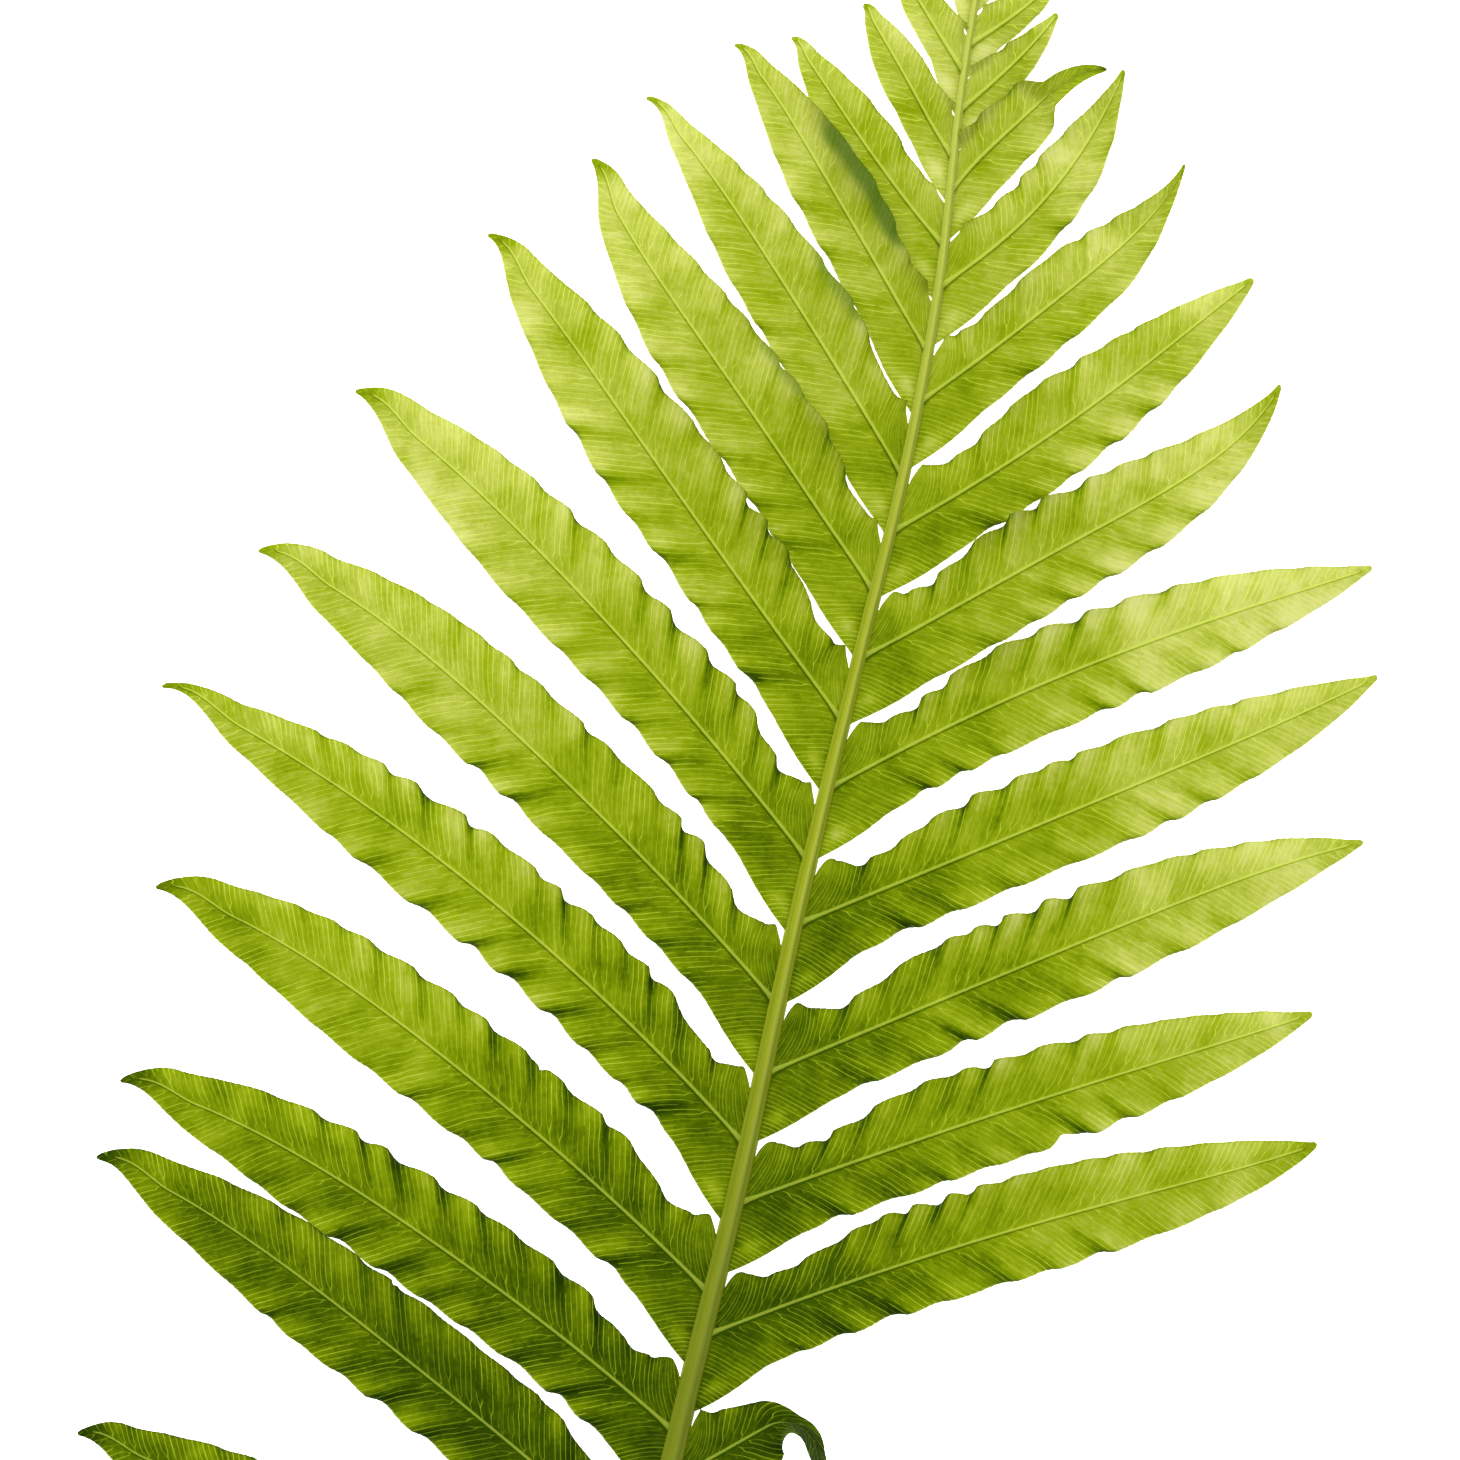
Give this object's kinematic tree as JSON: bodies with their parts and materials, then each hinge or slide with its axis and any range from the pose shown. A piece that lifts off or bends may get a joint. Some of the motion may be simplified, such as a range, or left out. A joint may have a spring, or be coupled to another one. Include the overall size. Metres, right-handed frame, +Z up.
{
  "type": "fern frond",
  "caption": "Cut fern frond lying flat: a slender stalk with two ranks of long, wavy-edged leaflets that shorten towards a lobed tip.",
  "frame": {"origin": "the middle of the frond's bounding box, on the ground it lies on", "axes": "+Y along the rachis towards the frond's tip, +Z up from the leaflets' upper faces, +X towards the right-hand leaflets"},
  "size_m": [0.2462, 0.5306, 0.0123],
  "materials": {
    "leaf_blade": "satin",
    "stalk": "satin"
  },
  "bodies": {
    "root": {"frond_tip": "leaf_blade", "leaflet_left_01": "leaf_blade", "leaflet_left_02": "leaf_blade", "leaflet_left_03": "leaf_blade", "leaflet_left_04": "leaf_blade", "leaflet_left_05": "leaf_blade", "leaflet_left_06": "leaf_blade", "leaflet_left_07": "leaf_blade", "leaflet_left_08": "leaf_blade", "leaflet_left_09": "leaf_blade", "leaflet_left_10": "leaf_blade", "leaflet_left_11": "leaf_blade", "leaflet_left_12": "leaf_blade", "leaflet_left_13": "leaf_blade", "leaflet_left_14": "leaf_blade", "leaflet_left_15": "leaf_blade", "leaflet_left_16": "leaf_blade", "leaflet_left_17": "leaf_blade", "leaflet_left_18": "leaf_blade", "leaflet_left_19": "leaf_blade", "leaflet_right_01": "leaf_blade", "leaflet_right_02": "leaf_blade", "leaflet_right_03": "leaf_blade", "leaflet_right_04": "leaf_blade", "leaflet_right_05": "leaf_blade", "leaflet_right_06": "leaf_blade", "leaflet_right_07": "leaf_blade", "leaflet_right_08": "leaf_blade", "leaflet_right_09": "leaf_blade", "leaflet_right_10": "leaf_blade", "leaflet_right_11": "leaf_blade", "leaflet_right_12": "leaf_blade", "leaflet_right_13": "leaf_blade", "leaflet_right_14": "leaf_blade", "leaflet_right_15": "leaf_blade", "leaflet_right_16": "leaf_blade", "leaflet_right_17": "leaf_blade", "leaflet_right_18": "leaf_blade", "leaflet_right_19": "leaf_blade", "rachis": "stalk"}
  },
  "joints": []
}
